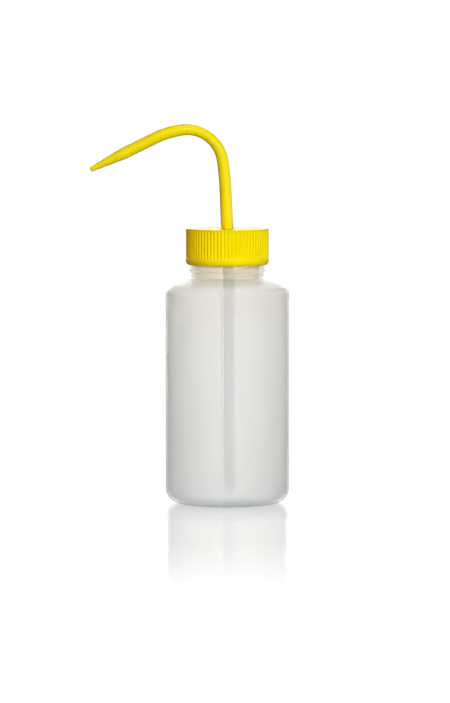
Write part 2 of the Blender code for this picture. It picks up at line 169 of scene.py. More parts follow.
# Spout. A bend is (radius, angle), and a run is (length, angle).
SPIGOT_LENGTH = 8.7 * MM
LEAN = (20.0 * MM, math.radians(2.4))
RISER_LENGTH = 22.8 * MM
RISER_BOW = (200.0 * MM, math.radians(5.6))
CROWN = (22.2 * MM, math.radians(89.5))
DROOP = (52.7 * MM, math.radians(18.6))
ARM_LENGTH = 43.6 * MM
JET_LENGTH = 22.0 * MM
SPOUT_RUNS = [
    (SPIGOT_LENGTH, 0.0),
    (math.prod(LEAN), LEAN[1]),
    (RISER_LENGTH, 0.0),
    (math.prod(RISER_BOW), RISER_BOW[1]),
    (math.prod(CROWN), CROWN[1]),
    (math.prod(DROOP), DROOP[1]),
    (ARM_LENGTH, 0.0),
]
RUNS_BELOW_CROWN = 4
SPOUT_FOOT_RADIUS = 3.85 * MM
SPOUT_ARM_RADIUS = 3.6 * MM
SPOUT_TIP_RADIUS = 1.5 * MM
SPOUT_TIP_ROUNDING = 0.5 * MM
CROWN_NARROWING = 0.35 * MM
CROWN_NARROWING_LENGTH = 43.0 * MM
SPOUT_BORE = 2.0 * MM
JET_BORE = 0.75 * MM
FLUTE_COUNT = 6
FLUTE_DEPTH = 0.45 * MM
FLUTE_FOOT = 9.0 * MM
FLUTE_TOP = 13.4 * MM
FLUTE_FADE = 1.0 * MM

# Facets.
ARC_STEP = math.radians(6.0)
FILLET_STEP = math.radians(18.0)
BOTTLE_COLUMNS = 192
PARTING_COLUMNS = 6
PARTING_CLEARANCE = 1.5
COLUMNS_PER_RIB = 10
FADE_ROWS = 5
RING_COLUMNS = 128
TUBE_SIDES = 48
SPOUT_STRIDE = 1.0 * MM
LONGEST_ROW = 4.0 * MM
THREAD_STEP = math.radians(3.0)
ON_AXIS = 0.001 * MM
SHARP_ANGLE = math.radians(40.0)

# Camera.
CAMERA_PLACE = (-1.43 * MM, -2600.0 * MM, 277.9 * MM)
CAMERA_PITCH = math.radians(4.084)
CAMERA_LENS = 219.3

# Floor and backdrop.
FLOOR_CELLS = 8
FLOOR_HALF_WIDTH = 6.0
FLOOR_GREY = 0.42
FLOOR_ROUGHNESS = 0.03
REFLECTION_FULL = 0.18
REFLECTION_GONE = 0.48
WHITE_GLOW = 1.03
ROOM_GLOW = 0.12
HORIZON_FULL = 0.25
HORIZON_GONE = 0.5

# Lights: (azimuth right of the camera, elevation, distance, width, height, power, roll), in degrees,
# metres and watts.
LIGHTS = {
    "key": (22.0, 9.0, 2.4, 1.5, 0.62, 28.5, 0.0),
    "front": (9.0, 25.0, 2.8, 1.6, 1.6, 26.5, 0.0),
    "glint": (16.0, 20.0, 2.5, 1.5, 0.05, 9.0, 8.0),
    "spark": (24.0, 20.0, 2.5, 0.4, 0.08, 1.2, 0.0),
    "top": (20.0, 70.0, 2.0, 1.2, 1.2, 6.0, 0.0),
    "back": (180.0, 20.0, 2.2, 2.4, 1.6, 26.0, 0.0),
    "fill": (-50.0, 6.0, 2.4, 1.4, 1.2, 19.0, 0.0),
    "warm": (-90.0, 5.0, 2.0, 0.8, 1.2, 8.0, 0.0),
    "rear": (180.0, 12.0, 2.2, 1.6, 1.6, 12.0, 0.0),
}
UNREFLECTED_LIGHTS = ("key", "front", "fill", "warm")
WARM_COLOUR = (1.0, 0.04, 0.0)

# Groups of pieces with lights of their own: (pieces, lights).
LIT_GROUPS = {
    "clear_pieces": (("blown_bottle", "draw_tube"), ("back", "fill")),
    "yellow_pieces": (("ribbed_cap", "curved_spout"), ("glint", "warm", "rear")),
}


def smooth(value, start, end):
    """Eases from 0 at start to 1 at end, and stays there outside them."""
    share = min(1.0, max(0.0, (value - start) / (end - start)))
    return (1.0 - math.cos(math.pi * share)) / 2


def between(value, start, end, first, last):
    """Linear change from first to last as the value goes from start to end, held outside them."""
    share = min(1.0, max(0.0, (value - start) / (end - start)))
    return first + (last - first) * share


def arc(centre, radius, start, end):
    """Points of an arc in the (r, z) half plane, angles from +r towards +z, both ends included."""
    count = max(2, math.ceil(abs(end - start) / ARC_STEP))
    angles = [start + (end - start) * i / count for i in range(count + 1)]
    return [(centre[0] + radius * math.cos(a), centre[1] + radius * math.sin(a)) for a in angles]


def filleted(corners):
    """Points of a closed profile of (r, z, fillet) corners, with an arc in place of each corner."""
    points = []
    for i, (r, z, fillet) in enumerate(corners):
        corner = Vector((r, z))
        if fillet == 0.0:
            points.append((r, z))
            continue
        before = (Vector(corners[i - 1][:2]) - corner).normalized()
        after = (Vector(corners[(i + 1) % len(corners)][:2]) - corner).normalized()
        half = before.angle(after) / 2
        reach = fillet / math.tan(half)
        centre = corner + (before + after).normalized() * fillet / math.sin(half)
        start = corner + before * reach - centre
        end = corner + after * reach - centre
        turn = start.angle_signed(end)
        count = max(2, math.ceil(abs(turn) / FILLET_STEP))
        base = math.atan2(start.y, start.x)
        for k in range(count + 1):
            angle = base - turn * k / count
            points.append((centre.x + fillet * math.cos(angle), centre.y + fillet * math.sin(angle)))
    return points


def with_rows(points, is_closed):
    """The same profile with points added, so that no stretch is longer than LONGEST_ROW."""
    rows = []
    ends = points[1:] + (points[:1] if is_closed else [])
    for start, end in zip(points, ends):
        count = max(1, math.ceil(math.dist(start, end) / LONGEST_ROW))
        for i in range(count):
            rows.append(tuple(s + (e - s) * i / count for s, e in zip(start, end)))
    return rows if is_closed else rows + [points[-1]]


def outward_normals(points, is_closed):
    """Unit normals of a profile that runs clockwise in (r, z): down its outer side."""
    normals = []
    last = len(points) - 1
    for i in range(len(points)):
        before = points[i - 1] if is_closed or i > 0 else points[i]
        after = points[(i + 1) % len(points)] if is_closed or i < last else points[i]
        along = Vector(after) - Vector(before)
        normals.append(Vector((-along.y, along.x)).normalized())
    return normals


def even_angles(count):
    return [math.tau * i / count for i in range(count)]


def link(name, shape):
    """Make an object of a bmesh, with its faces pointing out and shaded smooth between sharp edges."""
    bmesh.ops.recalc_face_normals(shape, faces=shape.faces)
    mesh = bpy.data.meshes.new(name)
    shape.to_mesh(mesh)
    shape.free()
    mesh.shade_smooth()
    mesh.set_sharp_from_angle(angle=SHARP_ANGLE)
    obj = bpy.data.objects.new(name, mesh)
    bpy.context.scene.collection.objects.link(obj)
    return obj


def join_rings(shape, rings, is_closed):
    """Faces between neighbouring rings of vertices. A ring of one repeated vertex makes a fan."""
    pairs = list(zip(rings, rings[1:]))
    if is_closed:
        pairs.append((rings[-1], rings[0]))
    for first, second in pairs:
        for i in range(len(first)):
            corners = [first[i - 1], second[i - 1], second[i], first[i]]
            shape.faces.new(dict.fromkeys(corners))


def revolve(name, profile, angles, relief=None, is_closed=True):
    """Turn a profile about Z. relief(r, z, normal, angle) says how far the skin stands off it."""
    points = with_rows(profile, is_closed)
    normals = outward_normals(points, is_closed)
    shape = bmesh.new()
    rings = []
    for (r, z), normal in zip(points, normals):
        if r < ON_AXIS:
            rings.append([shape.verts.new((0.0, 0.0, z))] * len(angles))
            continue
        ring = []
        for angle in angles:
            stand = relief(r, z, normal, angle) if relief else 0.0
            reach = r + normal.x * stand
            place = (reach * math.cos(angle), reach * math.sin(angle), z + normal.y * stand)
            ring.append(shape.verts.new(place))
        rings.append(ring)
    join_rings(shape, rings, is_closed)
    return link(name, shape)


def sweep(name, stations, relief=None):
    """A closed skin of round rings on a path in the XZ plane: out along its outside, back up its bore.

    A station is ((x, z), heading, radius, is_outside), with the heading from +Z towards -X.
    """
    shape = bmesh.new()
    rings = []
    for (x, z), heading, radius, is_outside in stations:
        ring = []
        for angle in even_angles(TUBE_SIDES):
            reach = radius - (relief(z, angle) if relief and is_outside else 0.0)
            across = reach * math.cos(angle)
            place = (x + across * math.cos(heading), reach * math.sin(angle), z + across * math.sin(heading))
            ring.append(shape.verts.new(place))
        rings.append(ring)
    join_rings(shape, rings, True)
    return link(name, shape)


def add_thread(obj, root_radius, outward, start_height, start_turns, turns):
    """Join a helical ridge with rounded crest and run-outs to a wall, outward (1) or inward (-1)."""
    buried = root_radius - outward * THREAD_BURIAL
    slope = (THREAD_ROOT_WIDTH - THREAD_CREST_WIDTH) / 2 / THREAD_DEPTH
    half_crest = THREAD_CREST_WIDTH / 2
    shape = bmesh.new()
    rings = []
    span = turns * math.tau
    count = math.ceil(span / THREAD_STEP)
    for i in range(count + 1):
        turned = span * i / count
        growth = smooth(min(turned, span - turned), -THREAD_LEAD, THREAD_RUN_OUT)
        depth = THREAD_DEPTH * growth
        half_root = half_crest + slope * (depth + THREAD_BURIAL)
        crest = root_radius + outward * depth
        rounding = THREAD_ROUNDING * growth
        section = filleted([
            (buried, half_root, 0.0),
            (crest, half_crest, rounding),
            (crest, -half_crest, rounding),
            (buried, -half_root, 0.0),
        ])
        angle = start_turns * math.tau + turned
        height = start_height + THREAD_PITCH * turned / math.tau
        rings.append([
            shape.verts.new((r * math.cos(angle), r * math.sin(angle), height + z)) for r, z in section
        ])
    join_rings(shape, rings, False)
    for ring in (rings[0], rings[-1]):
        shape.faces.new(ring)
    ridge = link("thread_ridge", shape)
    union = obj.modifiers.new("Thread", "BOOLEAN")
    union.operation = "UNION"
    union.solver = "EXACT"
    union.object = ridge
    bpy.context.view_layer.update()
    evaluated = obj.evaluated_get(bpy.context.evaluated_depsgraph_get())
    mesh = bpy.data.meshes.new_from_object(evaluated)
    obj.modifiers.clear()
    obj.data = mesh
    bpy.data.objects.remove(ridge, do_unlink=True)
    mesh.shade_smooth()
    mesh.set_sharp_from_angle(angle=SHARP_ANGLE)


def fit_to_node(obj, node):
    """Stretch a piece by the last hundredths of a millimetre in X and Z to its CAD node's box."""
    low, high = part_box(node)
    for axis in (0, 2):
        places = [vertex.co[axis] for vertex in obj.data.vertices]
        first = min(places)
        scale = (high[axis] - low[axis]) / (max(places) - first)
        for vertex in obj.data.vertices:
            vertex.co[axis] = low[axis] + (vertex.co[axis] - first) * scale


def adopt(piece, node, body, material):
    """Put a piece in a CAD node's place: hide the node, let the piece ride on the node's body, and give it a
    material.
    """
    piece.data.materials.clear()
    piece.data.materials.append(material)
    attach(piece, body)
    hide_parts(node)


# ---------------------------------------------------------------------------------------- materials


NOISE_LOW = 0.3
NOISE_HIGH = 0.7
PIT_LOW = 0.1
EVEN = (1.0, 1.0, 1.0)
POLYETHYLENE_IOR = 1.51
POLYPROPYLENE_IOR = 1.49


def rgba(red, green, blue):
    return (red, green, blue, 1.0)


WHITE = rgba(1.0, 1.0, 1.0)

# Colours of the wall, and the heights between which each one comes or goes.
WALL_MILKY = rgba(0.98, 0.945, 0.885)
# Painted light: the warm tint high on the wall and the yellow glow just below the cap paint the yellow light
# and shade that the cap throws onto the wall.
WALL_PAINTED_WARM_LIGHT = rgba(0.99, 0.90, 0.81)
WALL_PAINTED_WARM_LIGHT_SPAN = (90.0 * MM, 128.0 * MM)
WALL_PAINTED_CAP_GLOW = rgba(0.99, 0.82, 0.56)
WALL_PAINTED_CAP_GLOW_SPAN = (130.0 * MM, 144.0 * MM)
WALL_COOL = rgba(0.86, 0.92, 0.96)
WALL_COOL_SPAN = (4.0 * MM, 14.0 * MM)
WALL_CLOUD = rgba(0.98, 0.98, 0.98)
WALL_ALPHAS = (0.42, 0.34)
WALL_ALPHA_SPAN = (20.0 * MM, 120.0 * MM)
# The colour of the painted shade along the parting line.
PARTING_PAINTED_SHADE_COLOUR = rgba(0.30, 0.27, 0.24)

# The two tones that each other plastic varies between.
CAP_YELLOWS = (rgba(0.86, 0.685, 0.0), rgba(0.82, 0.65, 0.0))
SPOUT_YELLOWS = (rgba(0.82, 0.68, 0.0), rgba(0.78, 0.645, 0.0))
TUBE_BLUES = (rgba(0.64, 0.69, 0.78), rgba(0.60, 0.65, 0.73))
INSERT_WHITES = (rgba(0.80, 0.80, 0.77), rgba(0.75, 0.75, 0.73))
# The seal's darker grey is painted shade at the bottoms of its pits.
SEAL_PIT_SHADE_GREYS = (rgba(0.66, 0.66, 0.64), rgba(0.82, 0.82, 0.80))


def plug(tree, socket, value):
    """Give an input a plain value, or link it to another node's output."""
    if isinstance(value, bpy.types.NodeSocket):
        tree.links.new(value, socket)
    else:
        socket.default_value = value


def add_node(tree, kind, inputs=(), **settings):
    """Add a node with its settings and its inputs, which go by name or by number."""
    made = tree.nodes.new(kind)
    for name, value in settings.items():
        setattr(made, name, value)
    for name, value in dict(inputs).items():
        plug(tree, made.inputs[name], value)
    return made


def ranged(tree, value, span, first, last, interpolation="SMOOTHSTEP"):
    """A value that goes from first to last as another goes through a span."""
    inputs = {"Value": value, "From Min": span[0], "From Max": span[1], "To Min": first, "To Max": last}
    return add_node(tree, "ShaderNodeMapRange", inputs, interpolation_type=interpolation).outputs["Result"]


class Finish:
    """A plastic: one Principled shader whose colour, roughness and bump come from nodes."""

    def __init__(self, name):
        self.material = bpy.data.materials.new(name)
        self.material.use_nodes = True
        self.tree = self.material.node_tree
        self.shader = self.tree.nodes["Principled BSDF"]
        self.place = self.node("ShaderNodeTexCoord").outputs["Object"]

    def set(self, **values):
        for name, value in values.items():
            plug(self.tree, self.shader.inputs[name.replace("_", " ")], value)

    def node(self, kind, inputs=(), **settings):
        return add_node(self.tree, kind, inputs, **settings)

    def math(self, operation, *values):
        return self.node("ShaderNodeMath", enumerate(values), operation=operation).outputs[0]

    def noise(self, size, stretch=EVEN, detail=3.0):
        """Noise with grains of about a size in metres."""
        stretched = self.node("ShaderNodeMapping", {"Vector": self.place, "Scale": stretch}).outputs["Vector"]
        inputs = {"Vector": stretched, "Scale": 1.0 / size, "Detail": detail}
        return self.node("ShaderNodeTexNoise", inputs).outputs["Fac"]

    def height(self):
        return self.node("ShaderNodeSeparateXYZ", {"Vector": self.place}).outputs["Z"]

    def ranged(self, value, span, first=0.0, last=1.0):
        return ranged(self.tree, value, span, first, last)

    def mixed(self, share, first, second, blend="MIX"):
        inputs = {0: share, 6: first, 7: second}
        return self.node("ShaderNodeMix", inputs, data_type="RGBA", blend_type=blend).outputs[2]

    def tones(self, pattern, tones, low=NOISE_LOW):
        """Vary the colour between two tones."""
        self.set(Base_Color=self.mixed(self.ranged(pattern, (low, NOISE_HIGH)), *tones))

    def roughness(self, pattern, low, high):
        self.set(Roughness=self.ranged(pattern, (NOISE_LOW, NOISE_HIGH), low, high))

    def bump(self, pattern, depth):
        bump = self.node("ShaderNodeBump", {"Height": pattern, "Distance": depth, "Strength": 1.0})
        self.set(Normal=bump.outputs["Normal"])


def painted_parting_shade(finish, height):
    """Painted shade along the mould's parting line, standing in for the shade of its ridge and grooves: full
    at the neck, and gone near the foot.
    """
    across = (-math.sin(PARTING_ANGLE), math.cos(PARTING_ANGLE), 0.0)
    aside = finish.node("ShaderNodeVectorMath", {0: finish.place, 1: across}, operation="DOT_PRODUCT")
    beside = finish.math("ABSOLUTE", aside.outputs["Value"])
    line = finish.ranged(beside, (PARTING_LINE_EDGE, PARTING_HALF_WIDTH / 2), 1.0, 0.0)
    fading = finish.ranged(height, (PARTING_FADE_LOW, PARTING_FADE_HIGH), 0.0, PARTING_PAINTED_SHADE)
    return finish.math("MULTIPLY", line, fading)


def natural_ldpe():
    """Milky blow-moulded wall, cooler in the thick foot, with painted light: a warm tint high up and a yellow
    glow under the cap paint the cap's yellow light and shade on the wall, and a dark line paints the shade of
    the parting line.
    """
    finish = Finish("natural_ldpe")
    height = finish.height()
    # Painted light from the yellow cap: a warm tint high on the wall, and a yellow glow just below the cap.
    tone = finish.mixed(finish.ranged(height, WALL_PAINTED_WARM_LIGHT_SPAN), WALL_MILKY, WALL_PAINTED_WARM_LIGHT)
    tone = finish.mixed(finish.ranged(height, WALL_PAINTED_CAP_GLOW_SPAN), tone, WALL_PAINTED_CAP_GLOW)
    tone = finish.mixed(finish.ranged(height, WALL_COOL_SPAN, 1.0, 0.0), tone, WALL_COOL)
    # Painted shade: a dark line along the mould's parting line.
    tone = finish.mixed(painted_parting_shade(finish, height), tone, PARTING_PAINTED_SHADE_COLOUR)
    cloud = finish.ranged(finish.noise(30.0 * MM, (1.0, 1.0, 0.5), 2.0), (NOISE_LOW, NOISE_HIGH))
    tone = finish.mixed(cloud, tone, WALL_CLOUD, "MULTIPLY")
    finish.roughness(finish.noise(9.0 * MM), 0.18, 0.26)
    finish.bump(finish.noise(25.0 * MM, (1.0, 1.0, 0.2), 0.0), 0.1 * MM)
    finish.set(Base_Color=tone, Alpha=finish.ranged(height, WALL_ALPHA_SPAN, *WALL_ALPHAS))
    finish.set(IOR=POLYETHYLENE_IOR, Subsurface_Weight=1.0, Subsurface_Scale=4.0 * MM)
    finish.set(Subsurface_Radius=EVEN, Specular_IOR_Level=0.8)
    return finish.material


def yellow_cap():
    """Glossy moulded polypropylene."""
    finish = Finish("yellow_cap")
    finish.tones(finish.noise(10.0 * MM, (1.0, 1.0, 0.4), 2.0), CAP_YELLOWS)
    finish.roughness(finish.noise(2.5 * MM), 0.26, 0.36)
    finish.bump(finish.noise(2.0 * MM, detail=1.0), 0.004 * MM)
    finish.set(IOR=POLYPROPYLENE_IOR, Specular_IOR_Level=0.08)
    return finish.material


def yellow_spout():
    """Flexible polyethylene, smoother than the cap."""
    finish = Finish("yellow_spout")
    finish.tones(finish.noise(14.0 * MM, detail=2.0), SPOUT_YELLOWS)
    finish.roughness(finish.noise(4.0 * MM), 0.06, 0.09)
    finish.bump(finish.noise(6.0 * MM, detail=0.0), 0.004 * MM)
    finish.set(IOR=POLYETHYLENE_IOR, Specular_IOR_Level=0.22)
    return finish.material


def tubing():
    """Thin extruded tube with faint lines along it, a little bluer than the bottle."""
    finish = Finish("tubing")
    streak = finish.noise(1.5 * MM, (1.0, 1.0, 0.05), 2.0)
    finish.tones(streak, TUBE_BLUES)
    finish.roughness(finish.noise(5.0 * MM), 0.28, 0.38)
    finish.bump(streak, 0.004 * MM)
    finish.set(Alpha=0.6, IOR=POLYETHYLENE_IOR, Subsurface_Weight=1.0, Subsurface_Scale=6.0 * MM)
    finish.set(Subsurface_Radius=EVEN, Specular_IOR_Level=0.3)
    return finish.material


def white_insert():
    """Matt moulded polyethylene."""
    finish = Finish("white_insert")
    finish.tones(finish.noise(8.0 * MM, detail=2.0), INSERT_WHITES)
    finish.roughness(finish.noise(3.0 * MM), 0.36, 0.48)
    finish.bump(finish.noise(0.5 * MM), 0.006 * MM)
    finish.set(IOR=POLYETHYLENE_IOR)
    return finish.material


def soft_seal():
    """Closed-cell foam, matt and finely pitted, with painted shade: its colour is darker in the pits."""
    finish = Finish("soft_seal")
    cells = finish.node("ShaderNodeTexVoronoi", {"Vector": finish.place, "Scale": 1.0 / (0.35 * MM)})
    pits = cells.outputs["Distance"]
    # Painted shade: a darker grey at the bottoms of the pits.
    finish.tones(pits, SEAL_PIT_SHADE_GREYS, PIT_LOW)
    finish.roughness(pits, 0.75, 0.9)
    finish.bump(pits, 0.05 * MM)
    return finish.material


# ------------------------------------------------------------------------------------------- pieces


def shoulder(inset, neck_radius):
    """The shoulder from the neck out and down to the wall, inset by a wall thickness."""
    corner = (BODY_RADIUS - SHOULDER_CORNER_RADIUS, WALL_TOP)
    reach = SHOULDER_CROWN_RADIUS - SHOULDER_CORNER_RADIUS
    crown = (corner[0] - reach * math.cos(SHOULDER_BREAK), corner[1] - reach * math.sin(SHOULDER_BREAK))
    crown_radius = SHOULDER_CROWN_RADIUS - inset
    neck_angle = math.acos((neck_radius - crown[0]) / crown_radius)
    crown_arc = arc(crown, crown_radius, neck_angle, SHOULDER_BREAK)
    corner_arc = arc(corner, SHOULDER_CORNER_RADIUS - inset, SHOULDER_BREAK, 0.0)
    return crown_arc[:-1] + corner_arc


def neck_ridge(height, half_height, stand):
    """A rounded ridge round the neck, top to bottom."""
    half_circle = arc((0.0, 0.0), 1.0, math.pi / 2, -math.pi / 2)
    return [(NECK_RADIUS + stand * r, height + half_height * z) for r, z in half_circle]


def bottle_profile():
    """Inner floor, inner wall, lip, neck, shoulder, wall, heel and foot, from the axis to the axis."""
    inner_heel = HEEL_RADIUS - WALL
    inner_radius = BODY_RADIUS - WALL
    floor_arc = arc((inner_radius - inner_heel, BOTTLE_FLOOR + inner_heel), inner_heel, -math.pi / 2, 0.0)
    inner_shoulder = shoulder(WALL, NECK_BORE)[::-1]
    lip_inner = arc((NECK_BORE + LIP_ROUNDING, LIP_HEIGHT - LIP_ROUNDING), LIP_ROUNDING, math.pi, math.pi / 2)
    lip_edge = (NECK_THREAD_ROOT - LIP_ROUNDING, LIP_HEIGHT - LIP_ROUNDING)
    lip_outer = arc(lip_edge, LIP_ROUNDING, math.pi / 2, 0.0)
    collar = [(NECK_THREAD_ROOT, COLLAR_TOP), (NECK_RADIUS, COLLAR_TOP - COLLAR_STEP)]
    outer_shoulder = shoulder(0.0, NECK_RADIUS + NECK_FILLET)
    fillet_height = outer_shoulder[0][1] + NECK_FILLET
    fillet = arc((NECK_RADIUS + NECK_FILLET, fillet_height), NECK_FILLET, math.pi, 1.5 * math.pi)
    heel = arc((BODY_RADIUS - HEEL_RADIUS, HEEL_RADIUS), HEEL_RADIUS, 0.0, -math.pi / 2)
    foot_ring = [
        (FOOT_RING_OUTER, 0.0),
        (FOOT_RING_OUTER - FOOT_RING_SLOPE, FOOT_RING_DEPTH),
        (FOOT_RING_INNER + FOOT_RING_SLOPE, FOOT_RING_DEPTH),
        (FOOT_RING_INNER, 0.0),
    ]
    inside = [(0.0, BOTTLE_FLOOR)] + floor_arc + inner_shoulder
    neck = (
        collar
        + neck_ridge(BEAD_HEIGHT, BEAD_HALF_HEIGHT, BEAD_STAND)
        + neck_ridge(STEP_HEIGHT, STEP_HALF_HEIGHT, STEP_STAND)
        + fillet[:-1]
    )
    return inside + lip_inner + lip_outer + neck + outer_shoulder + heel + foot_ring + [(0.0, 0.0)]


def parting_relief(r, z, normal, angle):
    """How far the mould's parting line sinks into the bottle's outer skin and its foot."""
    off_line = abs(math.remainder(angle - PARTING_ANGLE, math.pi)) * r
    if off_line > PARTING_HALF_WIDTH or z > LIP_HEIGHT - LIP_ROUNDING:
        return 0.0
    if normal.y < 0.0 and z < HEEL_RADIUS / 2:
        return -PINCH_DEPTH * (1.0 - smooth(off_line, 0.0, PARTING_HALF_WIDTH))
    if normal.x <= 0.0 or r < NECK_THREAD_ROOT - LIP_ROUNDING:
        return 0.0
    groove = math.sin(math.pi * off_line / PARTING_HALF_WIDTH) ** 2
    return -PARTING_DEPTH * groove * between(z, PARTING_FADE_LOW, PARTING_FADE_HIGH, PARTING_LEAST, 1.0)


def bottle_angles():
    """Even columns, with more of them close to the parting line."""
    angles = even_angles(BOTTLE_COLUMNS)
    fine = PARTING_HALF_WIDTH / BODY_RADIUS / PARTING_COLUMNS
    reach = fine * (PARTING_COLUMNS + PARTING_CLEARANCE)
    for side in (0.0, math.pi):
        line = PARTING_ANGLE % math.tau + side
        angles = [a for a in angles if abs(math.remainder(a - line, math.tau)) > reach]
        angles += [(line + fine * i) % math.tau for i in range(-PARTING_COLUMNS - 1, PARTING_COLUMNS + 2)]
    return sorted(angles)


def build_bottle():
    bottle = revolve("blown_bottle", bottle_profile(), bottle_angles(), parting_relief, is_closed=False)
    add_thread(bottle, NECK_THREAD_ROOT, 1, NECK_THREAD_START, 0.0, NECK_THREAD_TURNS)
    adopt(bottle, "bottle", "bottle", natural_ldpe())


def rib_relief(r, z, normal, angle):
    """Grooves between the cap's ribs: rounded ribs, even all round, that fade out at both ends."""
    foot = CAP_RIM + CAP_BAND_HEIGHT
    top = CAP_TOP - CAP_RIM_LINE
    if r < RIB_CREST - EDGE_ROUNDING or z < foot or z > top:
        return 0.0
    fade = min(smooth(z, foot, foot + RIB_FADE), smooth(top - z, 0.0, RIB_TOP_FADE))
    groove = (1.0 + math.cos(angle * RIB_COUNT)) / 2
    return -RIB_DEPTH * groove * fade


def build_cap():
    band_top = CAP_RIM + CAP_BAND_HEIGHT
    plate_under = CAP_TOP - CAP_PLATE
    snap_top = plate_under - SEAT_GAP - DISC_THICKNESS - SEAT_GAP
    ribs_top = CAP_TOP - CAP_RIM_LINE
    rib_rows = [(RIB_CREST, ribs_top - RIB_TOP_FADE * i / FADE_ROWS) for i in range(FADE_ROWS + 1)]
    rib_rows += [(RIB_CREST, band_top + RIB_FADE * i / FADE_ROWS) for i in range(FADE_ROWS, 0, -1)]
    band_rounding = [
        (CAP_BAND_RADIUS + CAP_BAND_ROUNDING * r, CAP_RIM + CAP_BAND_ROUNDING_HEIGHT * z)
        for r, z in arc((-1.0, 1.0), 1.0, 0.0, -math.pi / 2)
    ]
    corners = [
        (CAP_HOLE, CAP_TOP, EDGE_ROUNDING),
        (RIB_CREST, CAP_TOP, EDGE_ROUNDING),
        *[(r, z, 0.0) for r, z in rib_rows],
        (RIB_CREST, band_top, 0.0),
        (CAP_BAND_RADIUS, band_top - EDGE_ROUNDING * 2, 0.0),
        *[(r, z, 0.0) for r, z in band_rounding],
        (CAP_BORE, CAP_RIM, EDGE_ROUNDING),
        (CAP_BORE, snap_top - SNAP_BEAD_HEIGHT - EDGE_ROUNDING * 2, 0.0),
        (SNAP_BEAD_RADIUS, snap_top - SNAP_BEAD_HEIGHT, EDGE_ROUNDING),
        (SNAP_BEAD_RADIUS, snap_top, EDGE_ROUNDING),
        (CAP_BORE, snap_top, 0.0),
        (CAP_BORE, plate_under, EDGE_ROUNDING * 2),
        (CAP_HOLE, plate_under, EDGE_ROUNDING),
    ]
    cap = revolve("ribbed_cap", filleted(corners), even_angles(RIB_COUNT * COLUMNS_PER_RIB), rib_relief)
    thread_start = NECK_THREAD_START + CAP_THREAD_LAG_TURNS * THREAD_PITCH - CAP_THREAD_DROP
    add_thread(cap, CAP_BORE, -1, thread_start, CAP_THREAD_LAG_TURNS, CAP_THREAD_TURNS)
    adopt(cap, "screw_cap", "cap", yellow_cap())


def build_insert():
    seat = INSERT_HIGH.z - DISC_THICKNESS
    skirt_inner = PLUG_RADIUS - PLUG_WALL
    corners = [
        (SPOUT_SOCKET, INSERT_HIGH.z, EDGE_ROUNDING),
        (INSERT_HIGH.x, INSERT_HIGH.z, EDGE_ROUNDING),
        (INSERT_HIGH.x, seat, EDGE_ROUNDING),
        (PLUG_RADIUS, seat, EDGE_ROUNDING),
        (PLUG_RADIUS, seat - PLUG_DEPTH, PLUG_WALL / 3),
        (skirt_inner, seat - PLUG_DEPTH, PLUG_WALL / 3),
        (skirt_inner, seat, EDGE_ROUNDING * 2),
        (BOSS_RADIUS, seat, EDGE_ROUNDING * 2),
        (BOSS_RADIUS, INSERT_LOW.z, EDGE_ROUNDING * 2),
        (TUBE_SOCKET, INSERT_LOW.z, EDGE_ROUNDING),
        (TUBE_SOCKET, seat - WEB_DEPTH - WEB_THICKNESS, 0.0),
        (WEB_BORE, seat - WEB_DEPTH - WEB_THICKNESS, EDGE_ROUNDING),
        (WEB_BORE, seat - WEB_DEPTH, EDGE_ROUNDING),
        (SPOUT_SOCKET, seat - WEB_DEPTH, 0.0),
    ]
    insert = revolve("plug_insert", filleted(corners), even_angles(RING_COLUMNS))
    adopt(insert, "spout_insert", "closure", white_insert())


def build_sealing_ring():
    bore = RING_HIGH.x - SEAL_WIDTH
    corners = [
        (bore, RING_HIGH.z, EDGE_ROUNDING),
        (RING_HIGH.x, RING_HIGH.z, EDGE_ROUNDING),
        (RING_HIGH.x, RING_LOW.z, EDGE_ROUNDING),
        (bore, RING_LOW.z, EDGE_ROUNDING),
    ]
    ring = revolve("foam_ring", filleted(corners), even_angles(RING_COLUMNS))
    adopt(ring, "sealing_ring", "closure", soft_seal())


def build_dip_tube():
    """The tube leans a little off the axis, and bows just below the insert's boss."""
    mouth = INSERT_LOW.z

    def station(height, radius, is_outside):
        lean = between(height, mouth, TUBE_LOW.z, 0.0, TUBE_LEAN)
        bow = TUBE_BOW * smooth(height, mouth, mouth - TUBE_BOW_HEIGHT)
        return (lean + bow, height), 0.0, radius, is_outside

    rows = math.ceil((TUBE_HIGH.z - TUBE_LOW.z) / SPOUT_STRIDE)
    heights = [between(i, 0, rows, TUBE_LOW.z, TUBE_HIGH.z) for i in range(rows + 1)]
    outside = [station(z, TUBE_RADIUS, True) for z in heights]
    inside = [station(z, TUBE_BORE, False) for z in reversed(heights)]
    tube = sweep("draw_tube", outside + inside)
    tube.visible_shadow = False
    adopt(tube, "dip_tube", "closure", tubing())


def spout_point(distance):
    """The spout's centre line at a distance from the spigot's end: its (x, z) and its heading."""
    x, z, heading = 0.0, SPOUT_LOW.z, 0.0
    for length, bend in SPOUT_RUNS:
        share = min(1.0, distance / length)
        turned = heading + bend * share
        if bend:
            radius = length / bend
            x += radius * (math.cos(turned) - math.cos(heading))
            z += radius * (math.sin(turned) - math.sin(heading))
        else:
            x -= length * share * math.sin(heading)
            z += length * share * math.cos(heading)
        heading = turned
        distance -= length
        if distance <= 0.0:
            break
    return (x, z), heading


def flute_relief(z, angle):
    """Six short flutes round the spout's foot, just above the cap."""
    foot = SPOUT_LOW.z + FLUTE_FOOT
    top = SPOUT_LOW.z + FLUTE_TOP
    rise = min(smooth(z, foot, foot + FLUTE_FADE), 1.0 - smooth(z, top - FLUTE_FADE, top))
    return FLUTE_DEPTH * rise * (1.0 + math.cos(angle * FLUTE_COUNT + math.pi / 2)) / 2


